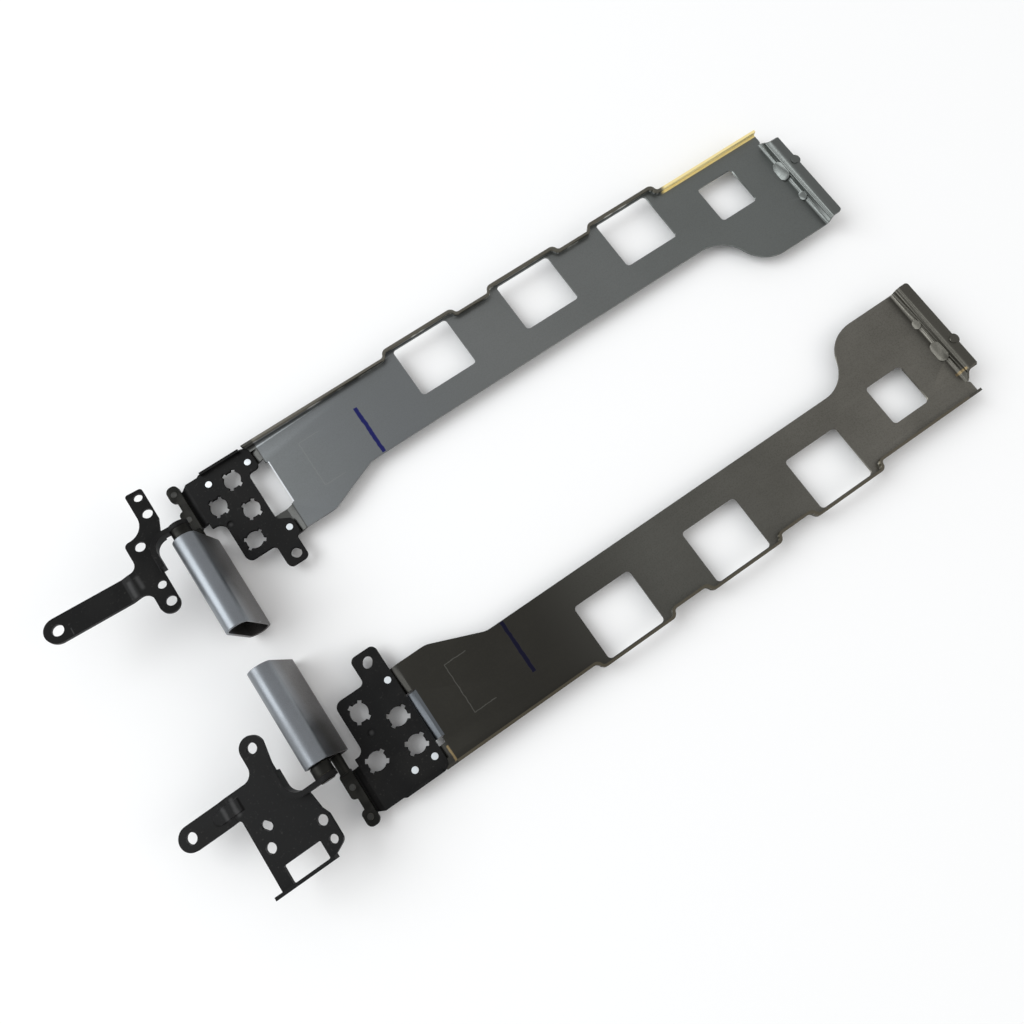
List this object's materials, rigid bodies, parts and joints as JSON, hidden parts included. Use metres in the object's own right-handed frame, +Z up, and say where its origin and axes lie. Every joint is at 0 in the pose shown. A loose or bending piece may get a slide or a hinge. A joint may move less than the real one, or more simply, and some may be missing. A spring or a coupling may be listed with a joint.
{
  "type": "laptop hinge pair",
  "caption": "Pair of fold-over laptop screen hinges: long windowed display rails, riveted brackets, tall covered links with parallel shafts, and base brackets with screw arms.",
  "frame": {"origin": "middle of the pair's footprint, on the surface that it lies on", "axes": "+X along the display rails towards their far ends, +Y towards the left hinge, +Z up; the hinge axes run along Y"},
  "size_m": [0.2628, 0.1149, 0.0219],
  "materials": {
    "left_rail_steel": "matt grey pressed steel",
    "right_rail_steel": "matt dark olive-grey pressed steel",
    "black_steel": "satin black coating",
    "rivet_steel": "bright steel",
    "dark_rivet_steel": "dark steel",
    "dark_shaft_steel": "blackened steel",
    "spring_steel": "oiled spring steel",
    "nut_steel": "plain steel",
    "link_steel": "plain steel",
    "cover_metal": "satin silver"
  },
  "bodies": {
    "display_side": {"left_rail": "left_rail_steel", "left_display_bracket": "black_steel", "left_bracket_rivets": "rivet_steel", "left_blade_rivets": "dark_rivet_steel", "left_display_shaft": "dark_shaft_steel", "left_display_washers": "spring_steel", "left_display_springs": "spring_steel", "left_display_nut": "nut_steel", "right_rail": "right_rail_steel", "right_display_bracket": "black_steel", "right_bracket_rivets": "rivet_steel", "right_blade_rivets": "dark_rivet_steel", "right_display_shaft": "dark_shaft_steel", "right_display_washers": "spring_steel", "right_display_springs": "spring_steel", "right_display_nut": "nut_steel"},
    "left_link": {"left_outer_link_plate": "link_steel", "left_inner_link_plate": "link_steel", "left_cover": "cover_metal"},
    "left_base": {"left_base_bracket": "black_steel", "left_base_shaft": "dark_shaft_steel", "left_base_washers": "spring_steel", "left_base_springs": "spring_steel", "left_base_nut": "nut_steel"},
    "right_link": {"right_outer_link_plate": "link_steel", "right_inner_link_plate": "link_steel", "right_cover": "cover_metal"},
    "right_base": {"right_base_bracket": "black_steel", "right_base_shaft": "dark_shaft_steel", "right_base_washers": "spring_steel", "right_base_springs": "spring_steel", "right_base_nut": "nut_steel"}
  },
  "joints": [
    {"name": "left_display_joint", "type": "hinge", "parent": "display_side", "child": "left_link", "pos_m": [-0.08766, 0.0303, 0.00425], "axis": [0, -1, 0], "range_deg": [-6.3, 173.7]},
    {"name": "left_base_joint", "type": "hinge", "parent": "left_link", "child": "left_base", "pos_m": [-0.08909, 0.0303, 0.01717], "axis": [0, 1, 0], "range_deg": [-15.3, 164.7]},
    {"name": "right_display_joint", "type": "hinge", "parent": "display_side", "child": "right_link", "pos_m": [-0.08766, -0.0303, 0.00425], "axis": [0, -1, 0], "range_deg": [-9.7, 170.3]},
    {"name": "right_base_joint", "type": "hinge", "parent": "right_link", "child": "right_base", "pos_m": [-0.08986, -0.0303, 0.01706], "axis": [0, 1, 0], "range_deg": [-3.2, 176.8]}
  ]
}
